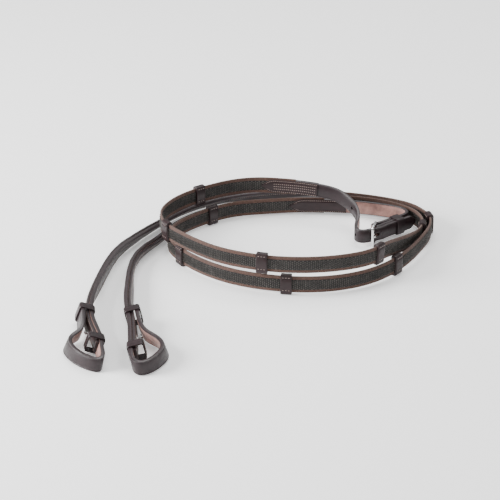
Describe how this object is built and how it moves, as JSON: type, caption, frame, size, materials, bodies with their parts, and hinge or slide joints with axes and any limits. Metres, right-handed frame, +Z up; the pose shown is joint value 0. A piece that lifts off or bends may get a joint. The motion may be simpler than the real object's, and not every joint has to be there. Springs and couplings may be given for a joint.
{
  "type": "riding reins",
  "caption": "Pair of flat riding reins with woven web grips and sewn hand stops, joined by a buckle and ending in hook-stud loops for the bit, lying stacked in two turns.",
  "frame": {"origin": "centre of the bounding box in plan, on the surface that the reins lie on", "axes": "+X right, +Y away from the two bit loops towards the stacked turns, +Z up"},
  "size_m": [0.3996, 0.4258, 0.0484],
  "materials": {
    "strap_leather": "waxed dark brown bridle leather, soft sheen",
    "patch_leather": "dark brown sewn patches and hand stops",
    "web": "ribbed woven brown web",
    "grip_rubber": "dark pimpled rubber, matt",
    "steel": "bright polished stainless steel"
  },
  "bodies": {
    "reins": {"left_bit_strap": "strap_leather", "left_bit_lining": "strap_leather", "left_upper_keeper": "strap_leather", "left_lower_keeper": "strap_leather", "left_hook_stud": "steel", "left_grip_web": "web", "left_grip_rubber_left": "grip_rubber", "left_grip_rubber_right": "grip_rubber", "left_bit_splice_left": "patch_leather", "left_bit_splice_right": "patch_leather", "left_centre_splice_left": "patch_leather", "left_centre_splice_right": "patch_leather", "left_centre_strap": "strap_leather", "left_hand_stop_1": "patch_leather", "left_hand_stop_2": "patch_leather", "left_hand_stop_3": "patch_leather", "left_hand_stop_4": "patch_leather", "left_hand_stop_5": "patch_leather", "right_bit_strap": "strap_leather", "right_bit_lining": "strap_leather", "right_upper_keeper": "strap_leather", "right_lower_keeper": "strap_leather", "right_hook_stud": "steel", "right_grip_web": "web", "right_grip_rubber_left": "grip_rubber", "right_grip_rubber_right": "grip_rubber", "right_bit_splice_left": "patch_leather", "right_bit_splice_right": "patch_leather", "right_centre_splice_left": "patch_leather", "right_centre_splice_right": "patch_leather", "right_centre_strap": "strap_leather", "right_hand_stop_1": "patch_leather", "right_hand_stop_2": "patch_leather", "right_hand_stop_3": "patch_leather", "right_hand_stop_4": "patch_leather", "right_hand_stop_5": "patch_leather", "buckle_keeper": "strap_leather"},
    "frame": {"buckle_frame": "steel"},
    "tongue": {"buckle_tongue": "steel"}
  },
  "joints": [
    {"name": "frame_tilt", "type": "hinge", "parent": "reins", "child": "frame", "pos_m": [0.1351, 0.0963, 0.013], "axis": [0, 0, 1], "range_deg": [0, 6]},
    {"name": "tongue_lift", "type": "hinge", "parent": "frame", "child": "tongue", "pos_m": [0.1351, 0.0963, 0.013], "axis": [0, 0, 1], "range_deg": [0, 8]}
  ]
}
